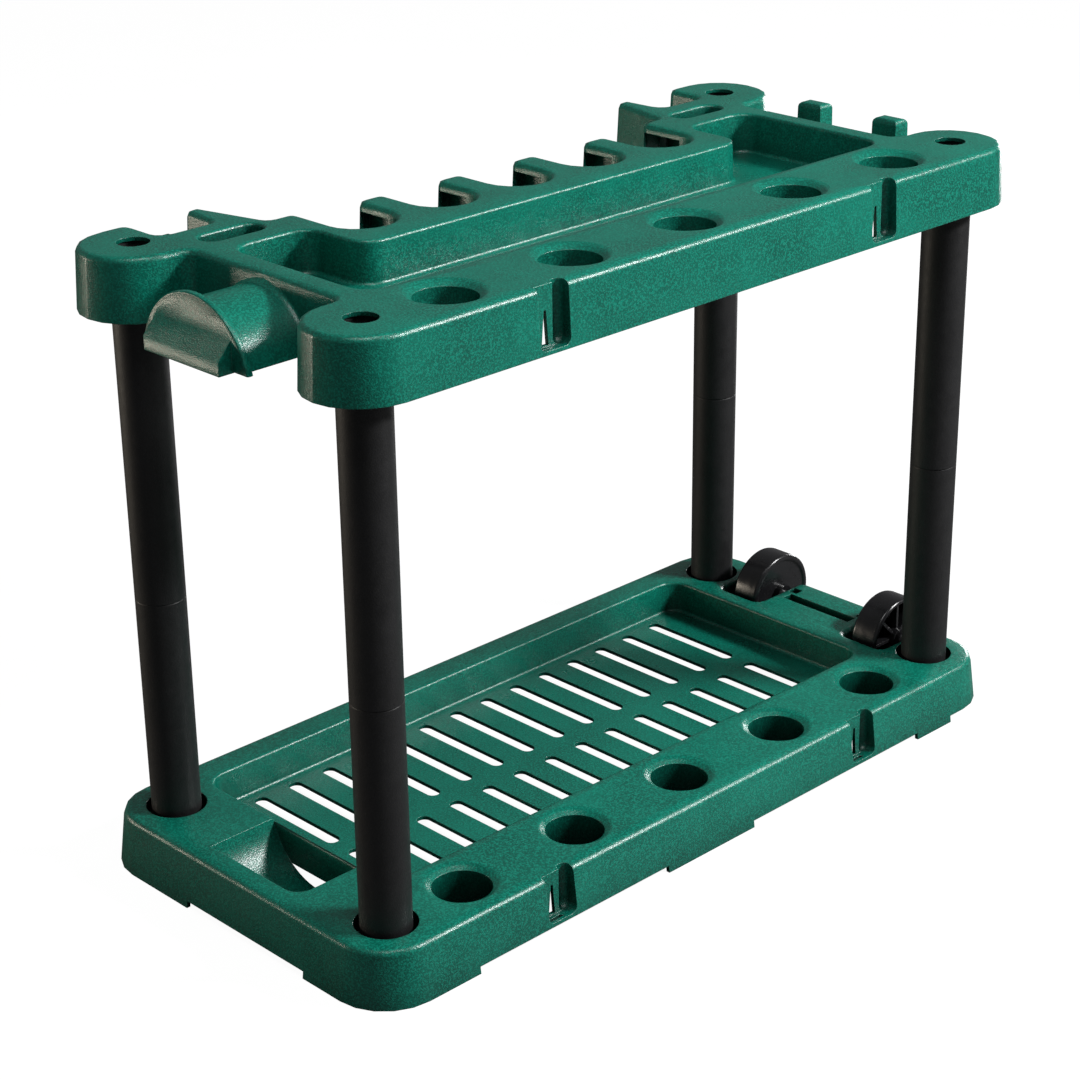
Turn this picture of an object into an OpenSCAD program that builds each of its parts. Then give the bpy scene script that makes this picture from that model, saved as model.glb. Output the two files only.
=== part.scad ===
// Freestanding garden tool rack: two moulded shelves on four posts, with two wheels at one end.
// Long-handled tools stand in the five base cups and lean through the five holes above them.
// X runs along the rack with the wheels at +X, Y runs across it with the tool holes at -Y,
// and Z is up from the ground. The origin is on the ground, midway between the four posts.

/* [Frame] */
// Distance between the post centres along the rack
post_span_x = 600; // [590:5:640]
// Distance between the post centres across the rack
post_span_y = 240; // [236:1:250]
// Height of the upper shelf's top face above the ground
rack_h = 482.6; // [440:0.1:560]
// Height of the base's top face above the ground
base_h = 44; // [42:0.5:48]
// Height of the upper shelf's skirt
shelf_h = 46; // [44:0.5:52]
// Distance from a post centre to the outer walls of both shelves
post_margin = 39.5; // [38:0.5:42]
// Wall thickness of both shelf mouldings
wall = 3; // [2.4:0.1:3.4]
// Radius of the rounded edge round both top faces
rim_r = 4.5; // [3:0.5:5]

/* [Posts] */
// Outer diameter of the posts
post_d = 37.4; // [36:0.2:38.4]
// Wall thickness of the posts
post_wall = 2.6; // [2:0.1:3.2]
// Height of the joint between a lower and an upper post above the ground
seam_z = 216; // [190:1:240]
// Height of the spigot on the upper end of each post
spigot_h = 20; // [14:0.5:22]
// Clearance on the radius where a post plugs into something
fit_gap = 0.2; // [0.1:0.05:0.3]
// Diameter of the post sockets in the base
socket_d = 46; // [44:0.5:48]
// Diameter of the hole above each post in the upper shelf
peep_d = 23.7; // [18:0.1:25]

/* [Tool holes] */
// Distance between tool holes along the rack
tool_pitch = 113.4; // [110:0.2:115]
// Diameter of a tool hole at its throat
tool_d = 44.5; // [40:0.5:46]
// Diameter of the flared mouth of a tool hole
mouth_d = 58; // [52:0.5:60]
// Depth of the flared mouth
mouth_h = 4; // [3:0.5:6]
// Distance from the front wall to the line of tool holes
tool_row_y = 41.5; // [40:0.5:42.5]
// Depth of the sleeve round each upper tool hole
sleeve_h = 30; // [20:1:34]

/* [Trays] */
// Width of the front beam, from the front wall to the tray
beam_w = 77.5; // [76.5:0.5:79]
// Distance from the post centres to the end walls of both trays
tray_end = 37; // [36:0.5:40]
// Depth of the base tray
tray_depth = 28; // [24:0.5:30]
// Distance from the back wall to the base tray
tray_back = 26.5; // [24:0.5:32]
// Depth of the upper tray
bin_depth = 32; // [26:0.5:34]
// Width of the upper tray's long channel across the rack
bin_w = 82; // [76:1:84]
// Corner radius of both trays
tray_r = 16; // [12:1:18]
// Width of the drain slots
slot_w = 11.5; // [9:0.5:13]
// Distance between drain slots along the rack
slot_pitch = 34.2; // [33:0.2:36]

/* [Hanging comb] */
// Distance between the notches for hanging handles
notch_pitch = 76.5; // [74:0.5:77]
// Width of each notch
notch_w = 51; // [46:0.5:52]
// Distance from the upper tray to the bottom of the notches
notch_land = 27; // [24:0.5:32]
// Length of the fingers between the notches
finger_l = 61; // [50:1:66]

/* [Wheels] */
// Height of the wheels above the ground while the rack stands level
wheel_lift = 0.5; // [0.3:0.1:3]
// Width of the wheels
wheel_w = 26; // [22:1:28]
// Distance from the centre line to the middle of each wheel
wheel_y = 67; // [66:0.5:69]
// Distance from the post centres to the axle
axle_x = 20; // [16:1:24]
// Diameter of the axle rod
axle_d = 8; // [7:0.5:9]
// Clearance on the radius between a wheel and the axle
wheel_gap = 0.05; // [0.03:0.01:0.1]

/* [End grip and hooks] */
// Radius of the flange of the half-round end grip
grip_r = 57.5; // [52:0.5:60]
// Length of the end grip, from the end wall to its outer face
grip_l = 59.5; // [52:0.5:62]
// Width of the clip-on hooks
hook_w = 24; // [20:1:26]
// How far the two end hooks reach out from the end wall
end_hook_l = 54; // [46:1:58]
// How far the two rear hooks reach out from the back wall
rear_hook_l = 45; // [38:1:50]

/* [Hidden] */

shelf_green = "#0f8a72";
post_black = "#2b2b2e";
wheel_black = "#18181a";
steel_grey = "#9a9c9f";

// Turn of one facet on large and small rounded corners of the mouldings, in degrees
arc_step = 18;
small_arc_step = 30;
// Radius from which a corner counts as large
large_r = 20;
// Turn of one facet on the rounded edges of the mouldings, in degrees
edge_step = 45;
// Turn of one facet on turned profiles, in degrees
turned_step = 30;
// Overrun of a cut past the face that it opens
over = 1;
$fn = 64;

// Shared places
front_y = -(post_span_y / 2 + post_margin);
back_y = -front_y;
end_x = post_span_x / 2 + post_margin;
post_x = post_span_x / 2;
post_y = post_span_y / 2;
tool_y = front_y + tool_row_y;
tray_x = post_x - tray_end;
tray_front = front_y + beam_w;
shelf_z = rack_h - shelf_h;
corner_flat = 1;
corner_r = post_margin - corner_flat / 2;

// Base skirt, feet and flare
foot_h = 5.5;
base_flare = 5;
foot_corner_l = 87;
foot_mid_from = -60;
foot_mid_to = 36;
foot_far_from = 239;
foot_far_to = 283;
foot_end_from = -80;
foot_end_to = 53;

// Wheel wells in the base
well_in_x = 20.5;
well_x = post_x - well_in_x;
well_w = 44;
well_in = wheel_y - 20;
well_out = well_in + well_w;
well_r = 7;
axle_roof = 0.3;
axle_z = base_h - wall - axle_roof - fit_gap - axle_d / 2;
wheel_r = axle_z - wheel_lift;
axle_at_x = post_x + axle_x;

// Upper shelf flare, end walls, back lobes and fins
shelf_flare = 2.2;
end_wall_in = 17.5;
end_wall_x = post_x - end_wall_in;
end_wall_r = 10;
lobe_side_in = 22.5;
lobe_side_x = post_x - lobe_side_in;
lobe_back_r = 9;
valley_y = post_y;
valley_r = 8;
fin_root_x = 230;
fin_tip_out = 228;
fin_tip_in = 216;
fin_short = 1.5;
fin_tip_y = back_y - fin_short;
fin_r = 5.6;
outer_finger_x = 201;
outer_finger_in = 63.5;
outer_finger_y = back_y - outer_finger_in;
outer_finger_r = 5;
finger_r = 8;

// Tray walls
tray_draft = 1;
tray_floor_r = 3;
tray_rim_r = 2.5;
bin_back = tray_front + bin_w;
pocket_w = 69;
pocket_l = 61;
bin_neck_r = 18;
bin_slot_end = 7.5;

// Comb places that follow from its sizes
lobe_y = post_y - post_margin;
notch_y = bin_back + notch_land;
notch_flat = 0.3;
notch_r = notch_w / 2 - notch_flat;
finger_w = notch_pitch - notch_w;
finger_y = notch_y + finger_l;
finger_band = 7;

// Oblong dips near the back lobes
dip_in = 61.5;
dip_back = 69.5;
dip_x = post_x - dip_in;
dip_y = back_y - dip_back;
dip_l = 52;
dip_w = 20;
dip_r = 9;
dip_depth = 24;

// Posts
post_edge = 1.2;
post_in_r = post_d / 2 - post_wall;
spigot_r = post_in_r - fit_gap;
spigot_end_gap = 0.5;
post_top = rack_h - wall - spigot_h - spigot_end_gap;

// Axle, caps and wheels
cap_gap = 0.3;
cap_r = 8;
cap_h = 6.5;
cap_depth = 5;
press_gap = 0.02;
axle_end = wheel_y + wheel_w / 2 + cap_gap + cap_depth;
hub_out = 4;
hub_r = 9;
dish_depth = 2;
web_t = 4;
tread_t = 4.5;
tread_r = 3;
spokes = 8;
spoke_t = 2.6;
spoke_back = 4;

// End grip
grip_lip = 7;
grip_flange = 5;
grip_edge = 1.5;
grip_root_r = 6;
grip_drop = 0.6;
wedge_w = 80;
wedge_l = 11;
wedge_low = 10;
wedge_high = 22;

// Clip-on hooks
hook_seat = 3;
hook_plate = 5;
hook_low = 5;
hook_arm = 9;
hook_back = 34;
hook_tip = 17;
hook_taper = 1;
hook_tip_r = 4;
hook_big_r = 6;
hook_small_r = 2;
hook_edge = 1.5;
end_hook_y = 39;
end_hook_h = shelf_h - hook_low;
rear_hook_drop = 15;
rear_hook_h = shelf_h - hook_low - rear_hook_drop;
rear_hook_in = 50;
rear_hook_x = post_x - rear_hook_in;

// Unit vector along v
function unit(v) = v / norm(v);

// Where a corner q between p and n moves when its outline is drawn in by d
function moved_corner(p, q, n, d) =
    let (u = unit(q - p), v = unit(n - q), a = [-u.y, u.x], b = [-v.y, v.x])
    q + d * (a + b) / (1 + a * b);

// Points of the arc of radius r that rounds the corner q between p and n, in facets of one turn
function corner_arc(p, q, n, r, step) =
    let (a = unit(p - q), b = unit(n - q), half = acos(a * b) / 2,
        centre = q + unit(a + b) * r / sin(half),
        start = q + a * r / tan(half) - centre,
        turn = (a.x * b.y - a.y * b.x < 0 ? 1 : -1) * (180 - 2 * half),
        steps = max(2, round(abs(turn) / step)))
    [for (i = [0:steps])
        let (t = turn * i / steps)
        centre + [start.x * cos(t) - start.y * sin(t), start.x * sin(t) + start.y * cos(t)]];

// Points of an outline of rounded corners [x, y, r], counter-clockwise, drawn in by d.
// A corner that turns outward loses d from its radius, and one that turns inward gains it.
function outline(corners, d = 0) =
    let (count = len(corners), flat = [for (c = corners) [c.x, c.y]])
    [for (i = [0:count - 1])
        let (p = flat[(i + count - 1) % count], q = flat[i], n = flat[(i + 1) % count],
            before = flat[(i + count - 2) % count], after = flat[(i + 2) % count],
            outward = (q.x - p.x) * (n.y - q.y) - (q.y - p.y) * (n.x - q.x) > 0,
            r = max(corners[i][2] + (outward ? -d : d), corners[i][2] / 10))
        each corner_arc(moved_corner(before, p, q, d), moved_corner(p, q, n, d),
            moved_corner(q, n, after, d), r,
            corners[i][2] < large_r ? small_arc_step : arc_step)];

// Solid through rings [d, z] of one outline: each ring is the outline drawn in by d at height z.
// Rings that run up the inside of a wall and down its outside make a shell.
module loft(corners, rings) {
    loops = [for (ring = rings) outline(corners, ring[0])];
    count = len(loops[0]);
    last = len(rings) - 1;
    polyhedron(
        points = [for (i = [0:last]) for (p = loops[i]) [p.x, p.y, rings[i][1]]],
        faces = concat(
            [[for (j = [0:count - 1]) j]],
            [for (i = [0:last - 1]) for (j = [0:count - 1])
                let (k = (j + 1) % count)
                [i * count + j, (i + 1) * count + j, (i + 1) * count + k, i * count + k]],
            [[for (j = [count - 1:-1:0]) last * count + j]]));
}

// Loft through rings, cut square at heights low and high so that both ends are single flat faces
module trimmed_loft(corners, rings, low, high) {
    last = len(rings) - 1;
    intersection() {
        loft(corners, concat([[rings[0][0], low - over]], rings, [[rings[last][0], high + over]]));
        box([-2 * end_x, 2 * front_y, low], [2 * end_x, 2 * back_y, high]);
    }
}

// Rings of an edge of radius r that rounds over from a wall at d to a flat face at height z
function over_edge(d, z, r) = [for (t = [0:edge_step:90]) [d + r * (1 - cos(t)), z - r + r * sin(t)]];

// Rings of a mouth of radius r that opens from a wall at d to a flat face at height z
function mouth_edge(d, z, r) = [for (t = [0:edge_step:90]) [d - r * (1 - cos(t)), z - r + r * sin(t)]];

// Rings of the rounded foot of a pocket wall at d, from a floor at height z
function foot_edge(d, z, r) = [for (t = [0:edge_step:90]) [d + r * (1 - sin(t)), z + r * (1 - cos(t))]];

// Same corners turned to the other side of the YZ plane, with the order kept counter-clockwise
function mirrored(corners) = [for (i = [len(corners) - 1:-1:0]) [-corners[i].x, corners[i].y, corners[i][2]]];

// Outer form of a moulding: a drafted skirt with a rounded top edge
module skirted_block(corners, low, high, flare) {
    trimmed_loft(corners, concat([[-flare, low]], over_edge(0, high, rim_r)), low, high);
}

// Hollow below the deck of a moulding, one wall inside its outer form
module skirt_hollow(corners, low, high, flare) {
    trimmed_loft(corners, [[wall - flare, low - over], [wall, high - wall]], low - over, high - wall);
}

// Space of a tray sunk into a deck, with a rounded floor edge and a rounded rim
module tray_space(corners, floor_z, deck_z) {
    trimmed_loft(corners, concat(
        foot_edge(tray_draft, floor_z, tray_floor_r),
        mouth_edge(0, deck_z, tray_rim_r)), floor_z, deck_z + over);
}

// Solid round a sunken tray, one wall bigger than its space and ending inside the deck
module tray_body(corners, floor_z, deck_z) {
    translate([0, 0, floor_z - wall])
        linear_extrude(deck_z - floor_z + wall / 2)
            polygon(outline(corners, -wall));
}

// Child as it is on the right, or turned over to the left
module on_side(side) {
    mirror([side < 0 ? 1 : 0, 0, 0])
        children();
}

// Flat slot with round ends from y0 to y1, centred on x
module slot_shape(x, y0, y1, w) {
    translate([x - w / 2, y0 + w / 2])
        square([w, y1 - y0 - w]);
    translate([x, y0 + w / 2])
        circle(d = w);
    translate([x, y1 - w / 2])
        circle(d = w);
}

// Place a child at each tool hole
module at_tool_holes() {
    for (i = [-2:2])
        translate([i * tool_pitch, tool_y, 0])
            children();
}

// Place a child at each post
module at_posts() {
    for (x = [-post_x, post_x])
        for (y = [-post_y, post_y])
            translate([x, y, 0])
                children();
}

// Clip pocket values, measured from the pocket's middle on the front wall
clip_w = 28;
clip_depth = 5;
clip_groove_d = 10.4;
clip_groove_x = 8.8;
clip_window_x = -6.3;
clip_window_w = 6;
clip_window_tip = 2;
clip_window_h = 25;
clip_x = 1.5 * tool_pitch;
// How far behind the outer wall a pad starts
pad_in = 2;

// Wall behind a clip pocket on the front skirt, from height low to high
module clip_pad(x, low, high) {
    translate([x - clip_w / 2 - wall, front_y + pad_in, low])
        cube([clip_w + 2 * wall, clip_depth + wall - pad_in, high - low]);
    translate([x + clip_groove_x, front_y + clip_depth, low])
        cylinder(d = clip_groove_d + 2 * wall, h = high - low);
}

// Space of a clip pocket: a shallow recess with a round-cornered foot, a deep groove and a window
module clip_space(x, low, high) {
    corner = clip_groove_d / 2;
    translate([x, front_y + clip_depth, 0])
        rotate([90, 0, 0])
            linear_extrude(clip_depth + base_flare + over) {
                translate([-clip_w / 2, low + corner])
                    square([clip_w, high + over - low - corner]);
                translate([corner - clip_w / 2, low])
                    square([clip_w - 2 * corner, 2 * corner]);
                for (side = [-1, 1])
                    translate([side * (clip_w / 2 - corner), low + corner])
                        circle(r = corner);
            }
    translate([x + clip_groove_x, front_y + clip_depth, low + corner])
        cylinder(d = clip_groove_d, h = high + over - low - corner);
    translate([x + clip_groove_x, front_y + clip_depth, low + corner])
        sphere(d = clip_groove_d);
    translate([x + clip_window_x, front_y + clip_depth - over, 0])
        rotate([-90, 0, 0])
            linear_extrude(wall + 2 * over)
                polygon([[0, -low - over], [clip_window_w, -low - over],
                    [clip_window_w - clip_window_tip, -low - clip_window_h],
                    [clip_window_w - 2 * clip_window_tip, -low - clip_window_h]]);
}

base_corners = [[-end_x, front_y, corner_r], [end_x, front_y, corner_r],
    [end_x, -well_out, well_r], [well_x, -well_out, well_r],
    [well_x, -well_in, well_r], [end_x, -well_in, well_r],
    [end_x, well_in, well_r], [well_x, well_in, well_r],
    [well_x, well_out, well_r], [end_x, well_out, well_r],
    [end_x, back_y, corner_r], [-end_x, back_y, corner_r]];

base_tray_corners = [[-tray_x, tray_front, tray_r], [tray_x, tray_front, tray_r],
    [tray_x, back_y - tray_back, tray_r], [-tray_x, back_y - tray_back, tray_r]];

tray_floor = base_h - tray_depth;
cup_floor = foot_h + wall;
cup_wall = 2.5;
cup_drain_d = 8;
scoop_r = 50.5;
scoop_rise = 9.5;
scoop_wall = 2.5;
scoop_in = 17.5;
scoop_x = end_x - scoop_in;
scoop_corner_r = 14;
socket_floor = foot_h + wall;
rib_t = 2;
slot_columns = 7;
slot_end = 10;
slot_bar = 16.5;
slot_front_l = 82.5;
saddle_y = 22;
saddle_t = 3;
saddle_w = 16;
saddle_z = 24;
snap_gap = 0.4;
window_w = 9;
window_y = 38;
groove_out = 7;
groove_x = post_x + groove_out;
groove_w = 11;
groove_l = 73;
groove_depth = 8;
groove_wall = 2;

// Trough of the scoop at the left end, drawn with its own radius and length
module scoop_trough(r, from_x, to_x) {
    translate([from_x, 0, base_h + scoop_rise])
        rotate([0, 90, 0])
            cylinder(r = r, h = to_x - from_x);
}

// Space of the scoop: a trough with one rounded corner in plan
module scoop_space() {
    half = sqrt(scoop_r * scoop_r - scoop_rise * scoop_rise);
    intersection() {
        scoop_trough(scoop_r, -scoop_x, -tray_x);
        linear_extrude(base_h + over) {
            translate([-scoop_x + scoop_corner_r, -half])
                square([scoop_x, scoop_corner_r]);
            translate([-scoop_x, scoop_corner_r - half])
                square([scoop_x, 2 * half - scoop_corner_r]);
            translate([-scoop_x + scoop_corner_r, scoop_corner_r - half])
                circle(r = scoop_corner_r);
        }
    }
}

// Box between two opposite corners
module box(a, b) {
    translate(a)
        cube(b - a);
}

module base_tray() {
    color(shelf_green)
        difference() {
            skirted_block(base_corners, 0, base_h, base_flare);
            difference() {
                skirt_hollow(base_corners, 0, base_h, base_flare);
                tray_body(base_tray_corners, tray_floor, base_h);
                at_tool_holes()
                    translate([0, 0, cup_floor - wall])
                        cylinder(d = tool_d + 2 * cup_wall, h = base_h - cup_floor + wall / 2);
                at_posts()
                    translate([0, 0, socket_floor - wall])
                        cylinder(d = socket_d + 2 * wall, h = base_h - socket_floor + wall / 2);
                intersection() {
                    scoop_trough(scoop_r + scoop_wall, -scoop_x - wall, -tray_x);
                    box([-end_x, -2 * scoop_r, 0], [0, 2 * scoop_r, base_h - wall / 2]);
                }
                for (x = [-clip_x, clip_x])
                    clip_pad(x, foot_h, base_h - wall / 2);
                for (y = [-saddle_y, saddle_y])
                    box([axle_at_x - saddle_w / 2, y - saddle_t / 2, saddle_z],
                        [axle_at_x + saddle_w / 2, y + saddle_t / 2, base_h - wall / 2]);
                box([groove_x - groove_w / 2 - groove_wall, -groove_l / 2 - groove_wall,
                        base_h - groove_depth - groove_wall],
                    [groove_x + groove_w / 2 + groove_wall, groove_l / 2 + groove_wall, base_h - wall / 2]);
            }
            tray_space(base_tray_corners, tray_floor, base_h);
            scoop_space();
            at_tool_holes() {
                translate([0, 0, foot_h - over])
                    cylinder(d = cup_drain_d, h = wall + 2 * over);
                translate([0, 0, cup_floor])
                    cylinder(d = tool_d, h = base_h - cup_floor + over);
                translate([0, 0, base_h - mouth_h])
                    cylinder(d1 = tool_d, d2 = mouth_d, h = mouth_h);
                translate([0, 0, base_h])
                    cylinder(d = mouth_d, h = over);
            }
            at_posts()
                translate([0, 0, socket_floor])
                    difference() {
                        cylinder(d = socket_d, h = base_h - socket_floor + over);
                        for (turn = [45:90:315])
                            rotate(turn)
                                translate([post_d / 2 + fit_gap, -rib_t / 2, -over])
                                    cube([socket_d / 2, rib_t, base_h - socket_floor - 2 * mouth_h + over]);
                    }
            translate([0, 0, tray_floor - wall - over])
                linear_extrude(wall + 2 * over)
                    for (i = [0:2 * slot_columns - 1]) {
                        x = (i - slot_columns + 0.5) * slot_pitch;
                        slot_shape(x, tray_front + slot_end, tray_front + slot_end + slot_front_l, slot_w);
                        slot_shape(x, tray_front + slot_end + slot_front_l + slot_bar,
                            back_y - tray_back - slot_end, slot_w);
                    }
            for (x = [-clip_x, clip_x])
                clip_space(x, foot_h + wall, base_h);
            for (side = [-1, 1]) {
                box([-end_x + foot_corner_l, side * post_y - post_margin - base_flare, -over],
                    [foot_mid_from, side * post_y + post_margin + base_flare, foot_h]);
                box([foot_mid_to, side * post_y - post_margin - base_flare, -over],
                    [foot_far_from, side * post_y + post_margin + base_flare, foot_h]);
                translate([axle_at_x, side * window_y, base_h - wall / 2])
                    cube([window_w, window_w, wall + over], center = true);
            }
            box([foot_far_to, 2 * front_y, -over], [2 * end_x, 2 * back_y, foot_h]);
            box([-2 * end_x, foot_end_from, -over], [-scoop_x - wall, foot_end_to, foot_h]);
            box([groove_x - groove_w / 2, -groove_l / 2, base_h - groove_depth],
                [groove_x + groove_w / 2, groove_l / 2, base_h + over]);
            translate([axle_at_x, 0, axle_z])
                rotate([90, 0, 0])
                    cylinder(d = axle_d + 2 * fit_gap, h = 2 * (well_in + base_flare), center = true);
            box([axle_at_x - axle_d / 2 + snap_gap, -well_in - base_flare, -over],
                [axle_at_x + axle_d / 2 - snap_gap, well_in + base_flare, axle_z]);
        }
}

shelf_half = [[end_x, front_y, corner_r], [end_x, -lobe_y, corner_r], [end_wall_x, -lobe_y, end_wall_r],
    [end_wall_x, lobe_y, end_wall_r], [end_x, lobe_y, corner_r], [end_x, back_y, corner_r],
    [lobe_side_x, back_y, lobe_back_r], [lobe_side_x, valley_y, valley_r], [fin_root_x, valley_y, valley_r],
    [fin_tip_out, fin_tip_y, fin_r], [fin_tip_in, fin_tip_y, fin_r],
    [outer_finger_x, outer_finger_y, outer_finger_r],
    [2 * notch_pitch + notch_w / 2, outer_finger_y, finger_r]];

// Two bottom corners of the notch centred on x
function notch_corners(x) = [[x + notch_w / 2, notch_y, notch_r], [x - notch_w / 2, notch_y, notch_r]];

// Two tip corners of the finger centred on x
function finger_corners(x) = [[x + finger_w / 2, finger_y, finger_r], [x - finger_w / 2, finger_y, finger_r]];

shelf_corners = concat(shelf_half,
    [for (i = [2:-1:-2]) each concat(notch_corners(i * notch_pitch),
        i > -2 ? finger_corners((i - 0.5) * notch_pitch) : [])],
    mirrored(shelf_half));

bin_half = [[tray_x, tray_front, tray_r], [tray_x, bin_back + pocket_l, tray_r],
    [tray_x - pocket_w, bin_back + pocket_l, tray_r], [tray_x - pocket_w, bin_back, bin_neck_r]];
bin_corners = concat(bin_half, mirrored(bin_half));

dip_corners = [[dip_x - dip_l / 2, dip_y - dip_w / 2, dip_r], [dip_x + dip_l / 2, dip_y - dip_w / 2, dip_r],
    [dip_x + dip_l / 2, dip_y + dip_w / 2, dip_r], [dip_x - dip_l / 2, dip_y + dip_w / 2, dip_r]];

// Profile of the half-round grip: radius against distance from the end wall
function grip_profile() =
    let (body = grip_r - grip_lip)
    concat(
        [[body - wall, -wall / 2], [body + grip_root_r, -wall / 2]],
        [for (t = [0:turned_step:90]) [body + grip_root_r * (1 - sin(t)), grip_root_r * (1 - cos(t)) - wall / 4]],
        [[body, grip_l - grip_flange], [grip_r - grip_edge, grip_l - grip_flange]],
        [for (t = [-90:turned_step:90]) [grip_r - grip_edge + grip_edge * cos(t),
            grip_l - grip_flange / 2 + (grip_flange / 2 - grip_edge) * sign(t) + grip_edge * sin(t)]],
        [[0, grip_l], [0, grip_l - wall], [body - wall, grip_l - wall]]);

// Half-round grip on the left end wall, hollow below, with a wedge on its outer face
module end_grip() {
    intersection() {
        translate([-end_wall_x, 0, rack_h - grip_drop - grip_r])
            rotate([0, -90, 0])
                rotate_extrude()
                    polygon(grip_profile());
        box([-end_x - grip_l, -2 * grip_r, shelf_z + over], [0, 2 * grip_r, rack_h]);
    }
    translate([-end_wall_x - grip_l, -wedge_w / 2, shelf_z])
        rotate([-90, 0, 0])
            linear_extrude(wedge_w)
                polygon([[wall / 2, 0], [-wedge_l, 0], [-wedge_l, -wedge_low], [0, -wedge_high],
                    [wall / 2, -wedge_high]]);
}

// Wall behind a hook seat, in the hook's own frame
module hook_pad() {
    box([pad_in, -hook_w / 2 - wall, over], [hook_seat + wall, hook_w / 2 + wall, rack_h - shelf_z - wall / 2]);
}

// Seat for a hook, open at the top, in the hook's own frame
module hook_space() {
    box([-shelf_flare - over, -hook_w / 2 - fit_gap, hook_low],
        [hook_seat, hook_w / 2 + fit_gap, rack_h - shelf_z + over]);
}

// Place a child in the frame of each hook: +X points into the wall that carries it
module at_end_hook(side) {
    translate([end_wall_x, side * end_hook_y, shelf_z])
        rotate(180)
            children();
}

module at_rear_hook(side) {
    translate([side * rear_hook_x, valley_y, shelf_z])
        rotate(-90)
            children();
}

module at_hooks() {
    for (side = [-1, 1]) {
        at_end_hook(side)
            children();
        at_rear_hook(side)
            children();
    }
}

// Openings in the left walls of the fingers, which are hollow from below
module finger_windows() {
    for (i = [-1:2])
        translate([(i - 0.5) * notch_pitch - finger_w / 2 - shelf_flare - over, 0, 0])
            box([0, finger_y - finger_l + notch_w / 2, shelf_z - over],
                [wall + shelf_flare + 2 * over, finger_y - wall - over, rack_h - finger_band]);
    translate([2 * notch_pitch + notch_w / 2 - shelf_flare - over, 0, 0])
        box([0, finger_y - finger_l + notch_w / 2, shelf_z - over],
            [wall + shelf_flare + 2 * over, outer_finger_y - wall - over, rack_h - finger_band]);
}

// Ribs inside the fingers, running in from the tip wall
module finger_ribs() {
    for (i = [-1:2])
        translate([(i - 0.5) * notch_pitch, finger_y - finger_l / 2, rack_h - wall / 2])
            rotate([90, 0, 90])
                linear_extrude(rib_t, center = true)
                    polygon([[finger_l / 2 - wall / 2, 0], [-finger_l / 4, 0],
                        [finger_l / 2 - wall / 2, shelf_z - rack_h + wall]]);
}

module top_shelf() {
    color(shelf_green)
        difference() {
            union() {
                skirted_block(shelf_corners, shelf_z, rack_h, shelf_flare);
                end_grip();
            }
            difference() {
                skirt_hollow(shelf_corners, shelf_z, rack_h, shelf_flare);
                tray_body(bin_corners, rack_h - bin_depth, rack_h);
                for (side = [-1, 1])
                    translate([side * dip_x, dip_y, rack_h - dip_depth - wall])
                        rotate(90)
                            linear_extrude(dip_depth + wall / 2)
                                slot_shape(0, -dip_l / 2 - wall, dip_l / 2 + wall, dip_w + 2 * wall);
                at_tool_holes()
                    translate([0, 0, rack_h - sleeve_h])
                        cylinder(d = tool_d + 2 * cup_wall, h = sleeve_h - wall / 2);
                at_posts()
                    translate([0, 0, shelf_z + over])
                        cylinder(d = post_d + 2 * fit_gap + 2 * wall, h = shelf_h - over - wall / 2);
                for (x = [-clip_x, clip_x])
                    clip_pad(x, shelf_z + over, rack_h - wall / 2);
                at_hooks()
                    hook_pad();
                finger_ribs();
            }
            tray_space(bin_corners, rack_h - bin_depth, rack_h);
            for (side = [-1, 1])
                on_side(side)
                    tray_space(dip_corners, rack_h - dip_depth, rack_h);
            at_tool_holes() {
                translate([0, 0, rack_h - sleeve_h - over])
                    cylinder(d = tool_d, h = sleeve_h + 2 * over);
                translate([0, 0, rack_h - mouth_h])
                    cylinder(d1 = tool_d, d2 = mouth_d, h = mouth_h);
                translate([0, 0, rack_h])
                    cylinder(d = mouth_d, h = over);
            }
            at_posts() {
                translate([0, 0, shelf_z - over])
                    cylinder(d = post_d + 2 * fit_gap, h = post_top - shelf_z + over);
                translate([0, 0, post_top - over])
                    cylinder(r = spigot_r + fit_gap, h = rack_h - wall - post_top + over);
                translate([0, 0, rack_h - wall - over])
                    cylinder(d = peep_d, h = wall + 2 * over);
            }
            translate([0, 0, rack_h - bin_depth - wall - over])
                linear_extrude(wall + 2 * over)
                    for (i = [0:2 * slot_columns - 1])
                        slot_shape((i - slot_columns + 0.5) * slot_pitch,
                            tray_front + bin_slot_end, bin_back - bin_slot_end, slot_w);
            for (x = [-clip_x, clip_x])
                clip_space(x, shelf_z + wall, rack_h);
            at_hooks()
                hook_space();
            finger_windows();
        }
}

// Profile of a post from height low to its shoulder at height high, with its spigot above
function post_profile(low, high) = [[post_in_r, low], [post_d / 2, low],
    [post_d / 2, high - post_edge], [post_d / 2 - post_edge, high], [spigot_r, high],
    [spigot_r, high + spigot_h - post_edge], [spigot_r - post_edge, high + spigot_h],
    [spigot_r - post_wall, high + spigot_h], [spigot_r - post_wall, high - post_wall],
    [post_in_r, high - post_wall]];

// Moulded tube with a chamfered shoulder and a hollow spigot on top
module post(side_x, side_y, low, high) {
    color(post_black)
        translate([side_x * post_x, side_y * post_y, 0])
            rotate_extrude()
                polygon(post_profile(low, high));
}

module lower_post(side_x, side_y) {
    post(side_x, side_y, socket_floor, seam_z);
}

module upper_post(side_x, side_y) {
    post(side_x, side_y, seam_z, post_top);
}

module axle_rod() {
    color(steel_grey)
        translate([axle_at_x, 0, axle_z])
            rotate([90, 0, 0])
                cylinder(d = axle_d, h = 2 * axle_end, center = true);
}

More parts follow.
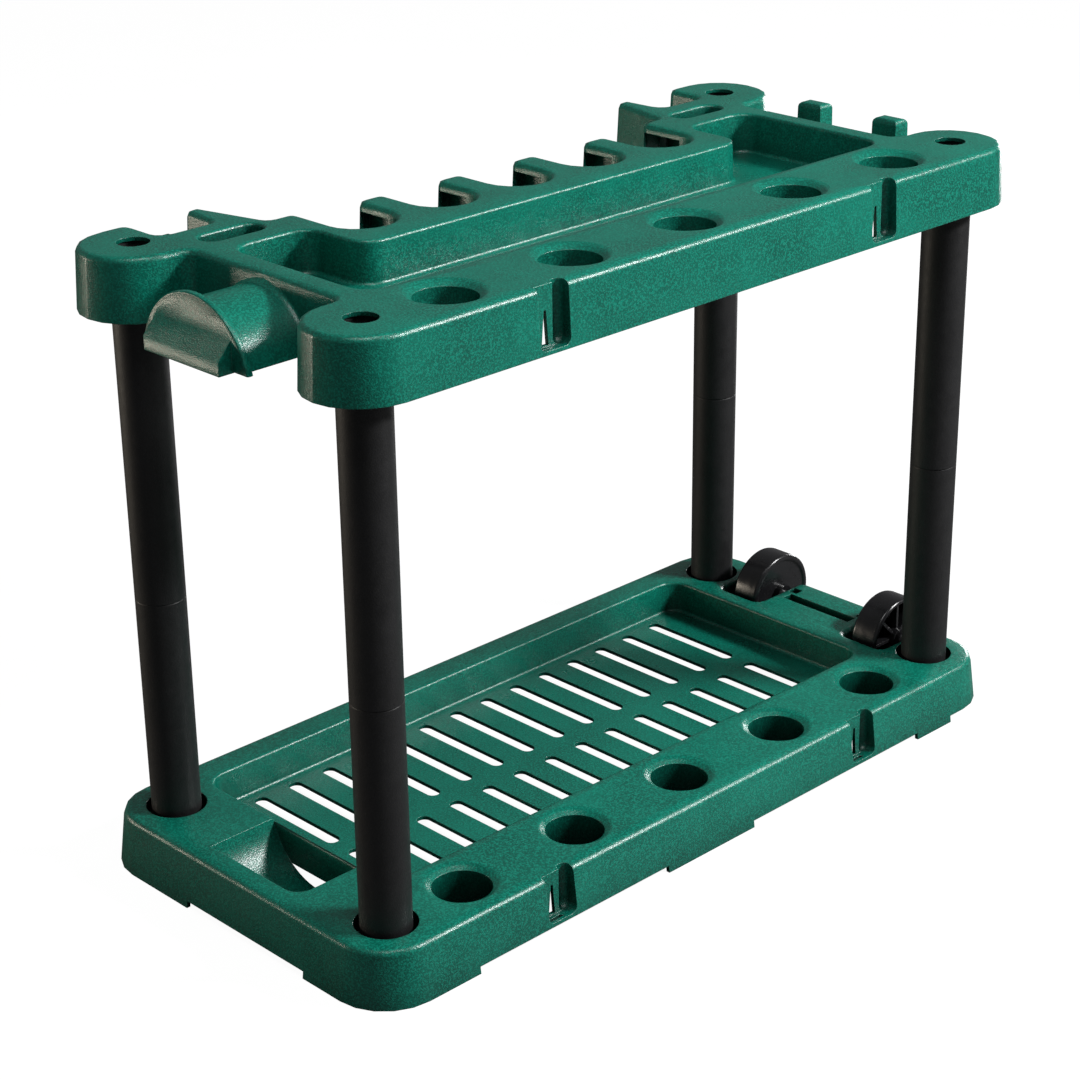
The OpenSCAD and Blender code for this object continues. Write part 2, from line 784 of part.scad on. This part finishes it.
// Push-on cap over one end of the axle
module axle_cap(side) {
    color(wheel_black)
        translate([axle_at_x, side * (wheel_y + wheel_w / 2 + cap_gap), axle_z])
            rotate([-90 * side, 0, 0])
                rotate_extrude()
                    polygon(concat([[axle_d / 2 + press_gap, 0], [cap_r, 0]],
                        [for (t = [0:turned_step:90]) [cap_r - cap_h / 2 + cap_h / 2 * cos(t),
                            cap_h / 2 + cap_h / 2 * sin(t)]],
                        [[0, cap_h], [0, cap_depth], [axle_d / 2 + press_gap, cap_depth]]));
}

// Half section of a wheel: radius against distance from its inner face
function wheel_profile() =
    let (r = wheel_r, bore = axle_d / 2 + wheel_gap)
    concat(
        [[bore, -hub_out], [hub_r, -hub_out], [hub_r, dish_depth], [r - tread_t - dish_depth, dish_depth],
            [r - tread_t, 0]],
        [for (t = [-90:turned_step:0]) [r - tread_r + tread_r * cos(t), tread_r + tread_r * sin(t)]],
        [for (t = [0:turned_step:90]) [r - tread_r + tread_r * cos(t), wheel_w - tread_r + tread_r * sin(t)]],
        [[r - tread_t, wheel_w - tread_r / 2], [r - tread_t, dish_depth + web_t], [hub_r, dish_depth + web_t],
            [hub_r, wheel_w], [bore, wheel_w]]);

// Wheel with a closed inner face and spoked outer face, turning on the axle rod
module wheel(side) {
    color(wheel_black)
        translate([axle_at_x, side * (wheel_y - wheel_w / 2), axle_z])
            rotate([-90 * side, 0, 0]) {
                rotate_extrude()
                    polygon(wheel_profile());
                for (turn = [0:360 / spokes:359])
                    rotate(turn)
                        translate([hub_r - tread_r / 2, -spoke_t / 2, dish_depth + web_t / 2])
                            cube([wheel_r - tread_t - hub_r + tread_r, spoke_t,
                                wheel_w - spoke_back - dish_depth - web_t / 2]);
            }
}

// Side view of a hook that reaches out by l and rises to h, drawn from its seat
function hook_corners(l, h) = [[0, 0, hook_small_r], [hook_seat + l, 0, hook_big_r],
    [hook_seat + l - hook_taper, h, hook_tip_r], [hook_seat + l - hook_tip + hook_taper, h, hook_tip_r],
    [hook_seat + l - hook_tip, hook_arm, hook_big_r], [hook_plate, hook_arm, hook_small_r],
    [hook_plate, hook_back, hook_small_r], [0, hook_back, hook_small_r]];

// Front view of a hook of height h, with rounded corners
function hook_front(h) = [[-hook_w, 0, hook_edge], [0, 0, hook_edge], [0, h, hook_tip_r], [-hook_w, h, hook_tip_r]];

// Hook with a back plate in its seat, an arm and an upright tip, cut to its side view and its front view
module hook(l, h) {
    color(shelf_green)
        translate([hook_seat, hook_w / 2, hook_low])
            rotate([90, 0, 0])
                mirror([1, 0, 0])
                    intersection() {
                        linear_extrude(hook_w)
                            polygon(outline(hook_corners(l, h)));
                        translate([-over, 0, 0])
                            rotate([0, 90, 0])
                                linear_extrude(hook_seat + l + 2 * over)
                                    polygon(outline(hook_front(h)));
                    }
}

base_tray();
top_shelf();
lower_post(-1, -1);  // lower_post_front_left
lower_post(1, -1);  // lower_post_front_right
lower_post(-1, 1);  // lower_post_back_left
lower_post(1, 1);  // lower_post_back_right
upper_post(-1, -1);  // upper_post_front_left
upper_post(1, -1);  // upper_post_front_right
upper_post(-1, 1);  // upper_post_back_left
upper_post(1, 1);  // upper_post_back_right
axle_rod();
axle_cap(-1);  // axle_cap_front
axle_cap(1);  // axle_cap_back
wheel(-1);  // wheel_front
wheel(1);  // wheel_back
at_end_hook(-1) hook(end_hook_l, end_hook_h);  // hook_end_front
at_end_hook(1) hook(end_hook_l, end_hook_h);  // hook_end_back
at_rear_hook(-1) hook(rear_hook_l, rear_hook_h);  // hook_rear_left
at_rear_hook(1) hook(rear_hook_l, rear_hook_h);  // hook_rear_right
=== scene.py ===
"""Looks of the garden tool rack: green plastic, black posts, glossy wheels and the studio.

Every solid comes from the CAD frame and keeps its shape and place. This add-on gives each group of
pieces its material, and sets up the floor, the lights and the camera.
"""

import math

import bpy
from mathutils import Matrix, Vector

bl_info = {
    "name": "Garden tool rack",
    "version": (1, 0, 0),
    "blender": (4, 5, 0),
    "location": "View3D > Sidebar > Tool rack",
    "description": "Gives the garden tool rack its materials, floor, lights and camera",
    "category": "Object",
}

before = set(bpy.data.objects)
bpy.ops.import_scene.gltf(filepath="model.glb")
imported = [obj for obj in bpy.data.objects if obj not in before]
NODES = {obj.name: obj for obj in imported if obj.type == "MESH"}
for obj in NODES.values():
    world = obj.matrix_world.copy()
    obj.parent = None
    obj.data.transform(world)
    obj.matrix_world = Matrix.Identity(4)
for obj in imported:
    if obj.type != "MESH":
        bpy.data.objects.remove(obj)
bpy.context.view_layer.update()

MOULDINGS = ("base_tray", "top_shelf")
HOOKS = ("hook_end_front", "hook_end_back", "hook_rear_left", "hook_rear_right")
POSTS = tuple("%s_post_%s_%s" % (level, row, side)
              for level in ("lower", "upper")
              for row in ("front", "back")
              for side in ("left", "right"))
WHEELS = ("wheel_front", "wheel_back")
CAPS = ("axle_cap_front", "axle_cap_back")
AXLE = ("axle_rod",)

# Shading of the CAD meshes. Lengths in this file are metres.
WELD_DISTANCE = 0.00001
SHARP_ANGLE = math.radians(50)
FLAT_WEIGHT = 90

# Widths and depths of the features in the materials, their ratios, and how strong rubbed edges are.
FLOW_MARK = 0.06
RUB_PATCH = 0.012
GLOSS_PATCH = 0.02
SPECK_PER_GRAIN = 1.8
WAVE_WIDTH = 0.03
GREEN_WAVE = 0.00025
# Painted shade in hollows: how far the darkening reaches, and the darkest it gets.
PAINTED_SHADE_DEPTH = 0.05
PAINTED_SHADE_DARKEST = 0.03
POST_GRAIN_DEPTH = 0.00008
WHEEL_GRAIN = 0.0006
WHEEL_GRAIN_DEPTH = 0.000012
BLACK_EDGE = 0.0006
DUST_CLOUD = 0.03
DUST_PER_GRAIN = 1.2
BLACK_GLOSS_PATCH = 0.008
BLACK_RUB = 0.35
ROD_RING = 0.0006
ROD_RING_DEPTH = 0.00002
ROD_SPOT = 0.006
FLOOR_CLOUD = 0.4

# Rays of the bevel node, and of the ambient occlusion node that paints shade into hollows.
SAMPLES = 6

# Background: the floor's glow for the camera, how much of the world's white gloss shows, and the
# strength of the world as light. The satin green would be veiled with grey by the full white.
FLOOR_WHITE = 0.96
WORLD_IN_GLOSS = 0.12
WORLD_LIGHT = 0.035

# Lamps: name, place, point aimed at, width and height, watts, colour.
WHITE = (1.0, 1.0, 1.0)
LAMPS = (
    ("key", (1.6, -1.95, 1.9), (0, 0, 0.25), (0.7, 0.3), 112.0, WHITE),
    ("overhead", (-0.5, -0.9, 2.5), (0, 0, 0.3), (1.4, 0.8), 22.0, WHITE),
    ("right_strip", (2.3, 0.6, 0.25), (0, 0, 0.25), (0.4, 0.8), 18.0, WHITE),
    ("left_strip", (-1.5, 1.9, 0.3), (0, 0, 0.25), (0.5, 0.5), 13.0, (1.0, 0.88, 0.72)),
)

PHOTO_WIDTH_PX = 1080.0
SENSOR_WIDTH_MM = 36.0


class RackPlasticSettings(bpy.types.PropertyGroup):
    """Looks of the moulded green plastic."""

    colour: bpy.props.FloatVectorProperty(
        name="Colour", description="Main colour of the moulded plastic", subtype="COLOR",
        size=3, min=0.0, max=1.0, default=(0.001, 0.128, 0.088))
    # Rubbed edges: partly real wear, and partly a painted highlight along the rims.
    worn_and_highlight_colour: bpy.props.FloatVectorProperty(
        name="Worn colour", description="Colour of rubbed edges", subtype="COLOR",
        size=3, min=0.0, max=1.0, default=(0.13, 0.42, 0.33))
    roughness: bpy.props.FloatProperty(
        name="Roughness", description="Roughness of the moulded plastic", min=0.0, max=1.0, default=0.29)
    grain: bpy.props.FloatProperty(
        name="Grain", description="Width of one dimple of the mould's grain", unit="LENGTH",
        min=0.0001, max=0.005, default=0.0008)
    grain_depth: bpy.props.FloatProperty(
        name="Grain depth", description="Height of the mould's grain", unit="LENGTH",
        min=0.0, max=0.001, default=0.00014)
    edge: bpy.props.FloatProperty(
        name="Edge", description="Radius of the softened edges", unit="LENGTH",
        min=0.0, max=0.005, default=0.0009)


class RackBlackSettings(bpy.types.PropertyGroup):
    """Looks of the black posts and wheels."""

    post_colour: bpy.props.FloatVectorProperty(
        name="Post colour", description="Colour of the grained posts", subtype="COLOR",
        size=3, min=0.0, max=1.0, default=(0.006, 0.006, 0.0065))
    post_roughness: bpy.props.FloatProperty(
        name="Post roughness", description="Roughness of the posts", min=0.0, max=1.0, default=0.5)
    post_grain: bpy.props.FloatProperty(
        name="Post grain", description="Width of one dimple of the posts' grain", unit="LENGTH",
        min=0.0001, max=0.005, default=0.0009)
    wheel_colour: bpy.props.FloatVectorProperty(
        name="Wheel colour", description="Colour of the wheels", subtype="COLOR",
        size=3, min=0.0, max=1.0, default=(0.008, 0.008, 0.009))
    wheel_roughness: bpy.props.FloatProperty(
        name="Wheel roughness", description="Roughness of the wheels", min=0.0, max=1.0, default=0.22)


class RackStageSettings(bpy.types.PropertyGroup):
    """The studio round the rack."""

    camera_place: bpy.props.FloatVectorProperty(
        name="Camera place", description="Where the camera stands", subtype="TRANSLATION", unit="LENGTH",
        size=3, default=(-1.2724, -1.2855, 0.9786))
    camera_yaw: bpy.props.FloatProperty(
        name="Camera yaw", description="Turn of the view from +Y towards +X", unit="ROTATION",
        default=math.radians(43.994))
    camera_pitch: bpy.props.FloatProperty(
        name="Camera pitch", description="Tilt of the view above the horizon", unit="ROTATION",
        default=math.radians(-23.2))
    camera_roll: bpy.props.FloatProperty(
        name="Camera roll", description="Roll of the view", unit="ROTATION", default=math.radians(-0.76))
    focal_px: bpy.props.FloatProperty(
        name="Focal length", description="Focal length in pixels of a picture 1080 pixels wide",
        min=100.0, default=2543.1)
    floor_size: bpy.props.FloatProperty(
        name="Floor size", description="Width of the floor", unit="LENGTH", min=1.0, default=14.0)


def smooth_group(angle):
    """Geometry nodes that weld a CAD mesh and smooth it, but for edges turned more than angle."""
    group = bpy.data.node_groups.new("weld_and_smooth", "GeometryNodeTree")
    group.interface.new_socket("Geometry", in_out="INPUT", socket_type="NodeSocketGeometry")
    group.interface.new_socket("Geometry", in_out="OUTPUT", socket_type="NodeSocketGeometry")
    nodes, links = group.nodes, group.links
    start = nodes.new("NodeGroupInput")
    end = nodes.new("NodeGroupOutput")
    plain = nodes.new("GeometryNodeRemoveAttribute")
    plain.inputs["Name"].default_value = "custom_normal"
    weld = nodes.new("GeometryNodeMergeByDistance")
    weld.inputs["Distance"].default_value = WELD_DISTANCE
    faces = nodes.new("GeometryNodeSetShadeSmooth")
    faces.domain = "FACE"
    turn = nodes.new("GeometryNodeInputMeshEdgeAngle")
    sharp = nodes.new("FunctionNodeCompare")
    sharp.data_type = "FLOAT"
    sharp.operation = "GREATER_THAN"
    sharp.inputs["B"].default_value = angle
    edges = nodes.new("GeometryNodeSetShadeSmooth")
    edges.domain = "EDGE"
    edges.inputs["Shade Smooth"].default_value = False
    links.new(start.outputs[0], plain.inputs["Geometry"])
    links.new(plain.outputs[0], weld.inputs["Geometry"])
    links.new(weld.outputs[0], faces.inputs["Geometry"])
    links.new(faces.outputs[0], edges.inputs["Geometry"])
    links.new(turn.outputs["Unsigned Angle"], sharp.inputs["A"])
    links.new(sharp.outputs["Result"], edges.inputs["Selection"])
    links.new(edges.outputs[0], end.inputs[0])
    return group


def dress(names, material):
    """Gives CAD nodes a material in every slot, and smooths their shading."""
    group = shared_group()
    for name in names:
        if name not in NODES:
            raise RuntimeError("the frame has no node %s" % name)
        obj = NODES[name]
        obj.data.materials.clear()
        obj.data.materials.append(material)
        weld = obj.modifiers.new("Weld and smooth", "NODES")
        weld.node_group = group
        flat = obj.modifiers.new("Keep flats flat", "WEIGHTED_NORMAL")
        flat.mode = "FACE_AREA_WITH_ANGLE"
        flat.weight = FLAT_WEIGHT
        flat.keep_sharp = True


def new_material(name):
    """A node material with only its output and one Principled shader."""
    mat = bpy.data.materials.new(name)
    mat.use_nodes = True
    tree = mat.node_tree
    tree.nodes.clear()
    out = tree.nodes.new("ShaderNodeOutputMaterial")
    shader = tree.nodes.new("ShaderNodeBsdfPrincipled")
    tree.links.new(shader.outputs["BSDF"], out.inputs["Surface"])
    return mat, tree, shader


def noise(tree, coord, size, detail=4.0, roughness=0.6):
    """Noise with features about size metres wide."""
    made = tree.nodes.new("ShaderNodeTexNoise")
    made.inputs["Scale"].default_value = 1.0 / size
    made.inputs["Detail"].default_value = detail
    made.inputs["Roughness"].default_value = roughness
    tree.links.new(coord, made.inputs["Vector"])
    return made.outputs["Fac"]


def remap(tree, value, low, high, to_low, to_high):
    """Value stretched from low..high to to_low..to_high and clamped there."""
    made = tree.nodes.new("ShaderNodeMapRange")
    made.inputs["From Min"].default_value = low
    made.inputs["From Max"].default_value = high
    made.inputs["To Min"].default_value = to_low
    made.inputs["To Max"].default_value = to_high
    tree.links.new(value, made.inputs["Value"])
    return made.outputs["Result"]


def mix(tree, factor, first, second):
    """Colour mix of two colours or sockets."""
    made = tree.nodes.new("ShaderNodeMix")
    made.data_type = "RGBA"
    tree.links.new(factor, made.inputs["Factor"])
    for socket, value in ((made.inputs[6], first), (made.inputs[7], second)):
        if isinstance(value, bpy.types.NodeSocket):
            tree.links.new(value, socket)
        else:
            socket.default_value = (*value, 1.0)
    return made.outputs[2]


def edge_mask(tree, radius):
    """Mask that is 1 on edges, and the rounded normal that it comes from."""
    bevel = tree.nodes.new("ShaderNodeBevel")
    bevel.samples = SAMPLES
    bevel.inputs["Radius"].default_value = radius
    here = tree.nodes.new("ShaderNodeNewGeometry")
    dot = tree.nodes.new("ShaderNodeVectorMath")
    dot.operation = "DOT_PRODUCT"
    tree.links.new(bevel.outputs["Normal"], dot.inputs[0])
    tree.links.new(here.outputs["Normal"], dot.inputs[1])
    return remap(tree, dot.outputs["Value"], 0.995, 0.8, 0.0, 1.0), bevel.outputs["Normal"]


def painted_hollow_shade(tree, body, depth, darkest):
    """Painted shade: colour darkened inside holes and corners up to about depth away, where less light
    reaches.
    """
    near = tree.nodes.new("ShaderNodeAmbientOcclusion")
    near.samples = SAMPLES
    near.inputs["Distance"].default_value = depth
    tone = tree.nodes.new("ShaderNodeMix")
    tone.data_type = "RGBA"
    tone.blend_type = "MULTIPLY"
    tone.inputs["Factor"].default_value = 1.0
    tree.links.new(body, tone.inputs[6])
    tree.links.new(remap(tree, near.outputs["AO"], 0.15, 0.8, darkest, 1.0), tone.inputs[7])
    return tone.outputs[2]


def grained(tree, shader, coord, size, depth, normal=None, waviness=0.0):
    """Dimpled moulding grain as a bump, over a slight waviness."""
    cells = tree.nodes.new("ShaderNodeTexVoronoi")
    cells.feature = "SMOOTH_F1"
    cells.inputs["Scale"].default_value = 1.0 / size
    cells.inputs["Smoothness"].default_value = 0.6
    tree.links.new(coord, cells.inputs["Vector"])
    bump = tree.nodes.new("ShaderNodeBump")
    bump.inputs["Distance"].default_value = depth
    bump.inputs["Strength"].default_value = 1.0
    tree.links.new(cells.outputs["Distance"], bump.inputs["Height"])
    if normal is not None:
        tree.links.new(normal, bump.inputs["Normal"])
    last = bump
    if waviness:
        slow = tree.nodes.new("ShaderNodeBump")
        slow.inputs["Distance"].default_value = waviness
        slow.inputs["Strength"].default_value = 1.0
        tree.links.new(noise(tree, coord, WAVE_WIDTH, 1.0), slow.inputs["Height"])
        tree.links.new(bump.outputs["Normal"], slow.inputs["Normal"])
        last = slow
    tree.links.new(last.outputs["Normal"], shader.inputs["Normal"])


def green_plastic(settings):
    """Moulded green plastic: fine grain, faint flow marks, rubbed edges lightened partly as painted
    highlight, and painted shade in hollows.
    """
    mat, tree, shader = new_material("green_plastic")
    coord = tree.nodes.new("ShaderNodeTexCoord").outputs["Object"]
    edges, rounded = edge_mask(tree, settings.edge)
    grained(tree, shader, coord, settings.grain, settings.grain_depth, rounded, GREEN_WAVE)
    cloud = noise(tree, coord, FLOW_MARK, 5.0)
    speck = noise(tree, coord, settings.grain * SPECK_PER_GRAIN, 1.0)
    main = settings.colour
    dark = [c * 0.76 for c in main]
    light = [min(1.0, c * 1.16) for c in main]
    bright = [min(1.0, c * 2.0 + 0.004) for c in main]
    body = mix(tree, remap(tree, cloud, 0.35, 0.65, 0.0, 1.0), dark, light)
    body = mix(tree, remap(tree, speck, 0.45, 0.62, 0.0, 0.75), body, bright)
    # Edges are lightened towards the worn colour in random patches: partly wear, partly a painted
    # highlight on the rims.
    rub = tree.nodes.new("ShaderNodeMath")
    rub.operation = "MULTIPLY"
    patches = remap(tree, noise(tree, coord, RUB_PATCH, 3.0), 0.3, 0.7, 0.1, 0.55)
    tree.links.new(edges, rub.inputs[0])
    tree.links.new(patches, rub.inputs[1])
    body = mix(tree, rub.outputs[0], body, settings.worn_and_highlight_colour)
    # Painted shade: the colour is darkened in holes, corners and recesses.
    body = painted_hollow_shade(tree, body, PAINTED_SHADE_DEPTH, PAINTED_SHADE_DARKEST)
    tree.links.new(body, shader.inputs["Base Color"])
    rough = remap(tree, noise(tree, coord, GLOSS_PATCH, 4.0), 0.3, 0.7,
                  settings.roughness - 0.03, settings.roughness + 0.04)
    tree.links.new(rough, shader.inputs["Roughness"])
    shader.inputs["Specular IOR Level"].default_value = 0.5
    return mat


def black_plastic(name, colour, roughness, grain, depth):
    """Black plastic with a moulded grain and a little dust in it."""
    mat, tree, shader = new_material(name)
    coord = tree.nodes.new("ShaderNodeTexCoord").outputs["Object"]
    edges, rounded = edge_mask(tree, BLACK_EDGE)
    grained(tree, shader, coord, grain, depth, rounded)
    cloud = noise(tree, coord, DUST_CLOUD, 5.0)
    dark = [c * 0.8 for c in colour]
    light = [c * 1.35 for c in colour]
    dusty = [c * 2.6 + 0.004 for c in colour]
    worn = [c * 3.0 + 0.02 for c in colour]
    body = mix(tree, remap(tree, cloud, 0.35, 0.7, 0.0, 1.0), dark, light)
    speck = noise(tree, coord, grain * DUST_PER_GRAIN, 1.0)
    body = mix(tree, remap(tree, speck, 0.45, 0.8, 0.0, 0.5), body, dusty)
    rub = tree.nodes.new("ShaderNodeMath")
    rub.operation = "MULTIPLY"
    rub.inputs[1].default_value = BLACK_RUB
    tree.links.new(edges, rub.inputs[0])
    body = mix(tree, rub.outputs[0], body, worn)
    tree.links.new(body, shader.inputs["Base Color"])
    rough = remap(tree, noise(tree, coord, BLACK_GLOSS_PATCH, 4.0), 0.3, 0.7,
                  roughness - 0.06, roughness + 0.08)
    tree.links.new(rough, shader.inputs["Roughness"])
    shader.inputs["Specular IOR Level"].default_value = 0.5
    return mat


def drawn_steel(name):
    """Drawn steel rod with fine marks and a few dull spots."""
    mat, tree, shader = new_material(name)
    coord = tree.nodes.new("ShaderNodeTexCoord").outputs["Object"]
    fine = noise(tree, coord, ROD_RING, 2.0)
    dull = noise(tree, coord, ROD_SPOT, 4.0)
    shade = mix(tree, remap(tree, dull, 0.4, 0.7, 0.0, 1.0), (0.42, 0.42, 0.43), (0.25, 0.24, 0.23))
    tree.links.new(shade, shader.inputs["Base Color"])
    tree.links.new(remap(tree, fine, 0.3, 0.7, 0.25, 0.42), shader.inputs["Roughness"])
    bump = tree.nodes.new("ShaderNodeBump")
    bump.inputs["Distance"].default_value = ROD_RING_DEPTH
    tree.links.new(fine, bump.inputs["Height"])
    tree.links.new(bump.outputs["Normal"], shader.inputs["Normal"])
    shader.inputs["Metallic"].default_value = 1.0
    return mat


def shared_group():
    """The one smoothing group that all CAD nodes share."""
    return bpy.data.node_groups.get("weld_and_smooth") or smooth_group(SHARP_ANGLE)


class RACK_OT_mouldings(bpy.types.Operator):
    """Green plastic on the base, the upper shelf and the clip-on hooks"""

    bl_idname = "rack.mouldings"
    bl_label = "Mouldings and hooks"

    def execute(self, context):
        dress(MOULDINGS + HOOKS, green_plastic(context.scene.rack_plastic))
        return {"FINISHED"}


class RACK_OT_posts(bpy.types.Operator):
    """Grained black plastic on the eight post tubes"""

    bl_idname = "rack.posts"
    bl_label = "Posts"

    def execute(self, context):
        black = context.scene.rack_black
        material = black_plastic("black_post", black.post_colour, black.post_roughness,
                                 black.post_grain, POST_GRAIN_DEPTH)
        dress(POSTS, material)
        return {"FINISHED"}


class RACK_OT_wheels(bpy.types.Operator):
    """Glossy black wheels and caps on a steel axle rod"""

    bl_idname = "rack.wheels"
    bl_label = "Wheels and axle"

    def execute(self, context):
        black = context.scene.rack_black
        material = black_plastic("black_wheel", black.wheel_colour, black.wheel_roughness,
                                 WHEEL_GRAIN, WHEEL_GRAIN_DEPTH)
        dress(WHEELS + CAPS, material)
        dress(AXLE, drawn_steel("steel_rod"))
        return {"FINISHED"}


class RACK_OT_stage(bpy.types.Operator):
    """Floor, lights, background and camera"""

    bl_idname = "rack.stage"
    bl_label = "Studio"

    def execute(self, context):
        stage = context.scene.rack_stage
        add_floor(stage)
        for lamp in LAMPS:
            add_light(*lamp)
        add_world(context.scene)
        add_camera(context.scene, stage)
        context.scene.view_settings.view_transform = "Standard"
        return {"FINISHED"}


def add_floor(stage):
    """Floor that takes a soft shadow, white to the camera only, so that it lights nothing."""
    half = stage.floor_size / 2
    corners = [(-half, -half, 0), (half, -half, 0), (half, half, 0), (-half, half, 0)]
    mesh = bpy.data.meshes.new("floor")
    mesh.from_pydata(corners, [], [(0, 1, 2, 3)])
    floor = bpy.data.objects.new("floor", mesh)
    bpy.context.scene.collection.objects.link(floor)
    mat, tree, shader = new_material("pale_floor")
    coord = tree.nodes.new("ShaderNodeTexCoord").outputs["Object"]
    cloud = remap(tree, noise(tree, coord, FLOOR_CLOUD, 3.0), 0.3, 0.7, 0.0, 1.0)
    shade = mix(tree, cloud, (0.08, 0.08, 0.08), (0.1, 0.1, 0.1))
    tree.links.new(shade, shader.inputs["Base Color"])
    shader.inputs["Roughness"].default_value = 0.7
    shader.inputs["Emission Color"].default_value = (1.0, 1.0, 1.0, 1.0)
    path = tree.nodes.new("ShaderNodeLightPath")
    white = remap(tree, path.outputs["Is Camera Ray"], 0.0, 1.0, 0.0, FLOOR_WHITE)
    tree.links.new(white, shader.inputs["Emission Strength"])
    mesh.materials.append(mat)


def add_light(name, place, aim, size, power, colour):
    """Rectangular soft light at place, turned towards aim."""
    data = bpy.data.lights.new(name, "AREA")
    data.shape = "RECTANGLE"
    data.size, data.size_y = size
    data.energy = power
    data.color = colour
    lamp = bpy.data.objects.new(name, data)
    lamp.location = place
    lamp.rotation_mode = "QUATERNION"
    lamp.rotation_quaternion = (Vector(aim) - Vector(place)).to_track_quat("-Z", "Y")
    bpy.context.scene.collection.objects.link(lamp)


def add_world(scene):
    """White seen by the camera, grey in reflections, and faint as light."""
    world = bpy.data.worlds.new("studio")
    scene.world = world
    world.use_nodes = True
    tree = world.node_tree
    tree.nodes.clear()
    out = tree.nodes.new("ShaderNodeOutputWorld")
    seen = tree.nodes.new("ShaderNodeBackground")
    seen.inputs["Color"].default_value = (1.0, 1.0, 1.0, 1.0)
    seen.inputs["Strength"].default_value = 1.0
    light = tree.nodes.new("ShaderNodeBackground")
    light.inputs["Color"].default_value = (0.86, 0.92, 1.0, 1.0)
    light.inputs["Strength"].default_value = WORLD_LIGHT
    path = tree.nodes.new("ShaderNodeLightPath")
    clear = tree.nodes.new("ShaderNodeMath")
    clear.operation = "MAXIMUM"
    shiny = remap(tree, path.outputs["Is Glossy Ray"], 0.0, 1.0, 0.0, WORLD_IN_GLOSS)
    either = tree.nodes.new("ShaderNodeMath")
    either.operation = "MAXIMUM"
    both = tree.nodes.new("ShaderNodeMixShader")
    tree.links.new(path.outputs["Is Camera Ray"], clear.inputs[0])
    tree.links.new(path.outputs["Is Transmission Ray"], clear.inputs[1])
    tree.links.new(clear.outputs[0], either.inputs[0])
    tree.links.new(shiny, either.inputs[1])
    tree.links.new(either.outputs[0], both.inputs[0])
    tree.links.new(light.outputs[0], both.inputs[1])
    tree.links.new(seen.outputs[0], both.inputs[2])
    tree.links.new(both.outputs[0], out.inputs["Surface"])


def add_camera(scene, stage):
    """Camera at the photograph's angle."""
    data = bpy.data.cameras.new("camera")
    data.sensor_width = SENSOR_WIDTH_MM
    data.lens = stage.focal_px / PHOTO_WIDTH_PX * data.sensor_width
    data.clip_start = 0.05
    data.clip_end = 60.0
    camera = bpy.data.objects.new("camera", data)
    scene.collection.objects.link(camera)
    yaw, pitch, roll = stage.camera_yaw, stage.camera_pitch, stage.camera_roll
    forward = Vector((math.sin(yaw) * math.cos(pitch), math.cos(yaw) * math.cos(pitch),
                      math.sin(pitch)))
    right = Vector((math.cos(yaw), -math.sin(yaw), 0.0))
    up = right.cross(forward)
    right, up = (math.cos(roll) * right + math.sin(roll) * up,
                 -math.sin(roll) * right + math.cos(roll) * up)
    turn = Matrix((right, up, -forward)).transposed().to_4x4()
    camera.matrix_world = Matrix.Translation(Vector(stage.camera_place)) @ turn
    scene.camera = camera


class RACK_PT_panel(bpy.types.Panel):
    """Sidebar panel with one button for each group of pieces"""

    bl_label = "Tool rack"
    bl_idname = "RACK_PT_panel"
    bl_space_type = "VIEW_3D"
    bl_region_type = "UI"
    bl_category = "Tool rack"

    def draw(self, context):
        column = self.layout.column()
        scene = context.scene
        for label, settings in (("Green plastic", scene.rack_plastic),
                                ("Black plastic", scene.rack_black),
                                ("Studio", scene.rack_stage)):
            column.label(text=label)
            for name in settings.bl_rna.properties.keys():
                if name not in ("rna_type", "name"):
                    column.prop(settings, name)
        for operator in OPERATORS:
            column.operator(operator.bl_idname)


SETTINGS = (RackPlasticSettings, RackBlackSettings, RackStageSettings)
OPERATORS = (RACK_OT_mouldings, RACK_OT_posts, RACK_OT_wheels, RACK_OT_stage)
CLASSES = SETTINGS + OPERATORS + (RACK_PT_panel,)


def register():
    """Adds the classes and the settings to Blender."""
    for cls in CLASSES:
        bpy.utils.register_class(cls)
    bpy.types.Scene.rack_plastic = bpy.props.PointerProperty(type=RackPlasticSettings)
    bpy.types.Scene.rack_black = bpy.props.PointerProperty(type=RackBlackSettings)
    bpy.types.Scene.rack_stage = bpy.props.PointerProperty(type=RackStageSettings)


def unregister():
    """Takes the settings and the classes out again."""
    for name in ("rack_plastic", "rack_black", "rack_stage"):
        delattr(bpy.types.Scene, name)
    for cls in reversed(CLASSES):
        bpy.utils.unregister_class(cls)


def main():
    """Registers the add-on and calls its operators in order."""
    register()
    for operator in OPERATORS:
        group, name = operator.bl_idname.split(".")
        if getattr(getattr(bpy.ops, group), name)() != {"FINISHED"}:
            raise RuntimeError("%s did not finish" % operator.bl_idname)
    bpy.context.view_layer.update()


if __name__ == "__main__":
    main()
